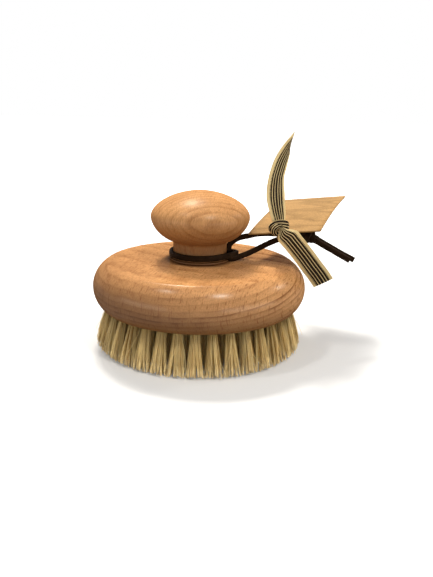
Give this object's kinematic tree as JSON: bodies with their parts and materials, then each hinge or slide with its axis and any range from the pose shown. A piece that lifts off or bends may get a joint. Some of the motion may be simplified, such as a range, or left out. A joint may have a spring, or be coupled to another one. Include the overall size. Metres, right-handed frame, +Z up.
{
  "type": "body brush",
  "caption": "Round wooden body brush with a turned knob handle, a tufted bristle face, and a leather hanging thong with a ribbon-tied tag.",
  "frame": {"origin": "Middle of the circle of bristle tips, in the plane that the brush stands on.", "axes": "+Z up through the turned back and knob, +X towards the side where the thong leaves the neck, -Y towards the pictured front."},
  "size_m": [0.1534, 0.1228, 0.1205],
  "materials": {
    "beech": "oiled",
    "plain_beech": "bare",
    "bristle": "natural fibre",
    "thong": "matt",
    "ribbon": "woven stripe",
    "tag": "matt"
  },
  "bodies": {
    "brush": {"brush_back": "beech", "knob": "beech", "knob_dowel": "plain_beech", "tuft_ring_1": "bristle", "tuft_ring_2": "bristle", "tuft_ring_3": "bristle", "tuft_ring_4": "bristle", "tuft_ring_5": "bristle"},
    "thong": {"thong_neck_loop": "thong", "thong_hitch": "thong", "thong_lower_strand": "thong", "thong_upper_strand": "thong", "thong_end_knot": "thong", "thong_tail_1": "thong", "thong_tail_2": "thong", "ribbon": "ribbon"},
    "tag": {"tag": "tag"}
  },
  "joints": [
    {"name": "thong_swivel", "type": "hinge", "parent": "brush", "child": "thong", "pos_m": [0, 0, 0.0527], "axis": [0, 0, 1], "continuous": true},
    {"name": "tag_turn", "type": "hinge", "parent": "thong", "child": "tag", "pos_m": [0.0446, -0.004, 0.0665], "axis": [-0.1957, -0.0685, 0.9783], "range_deg": [0, 40]}
  ]
}
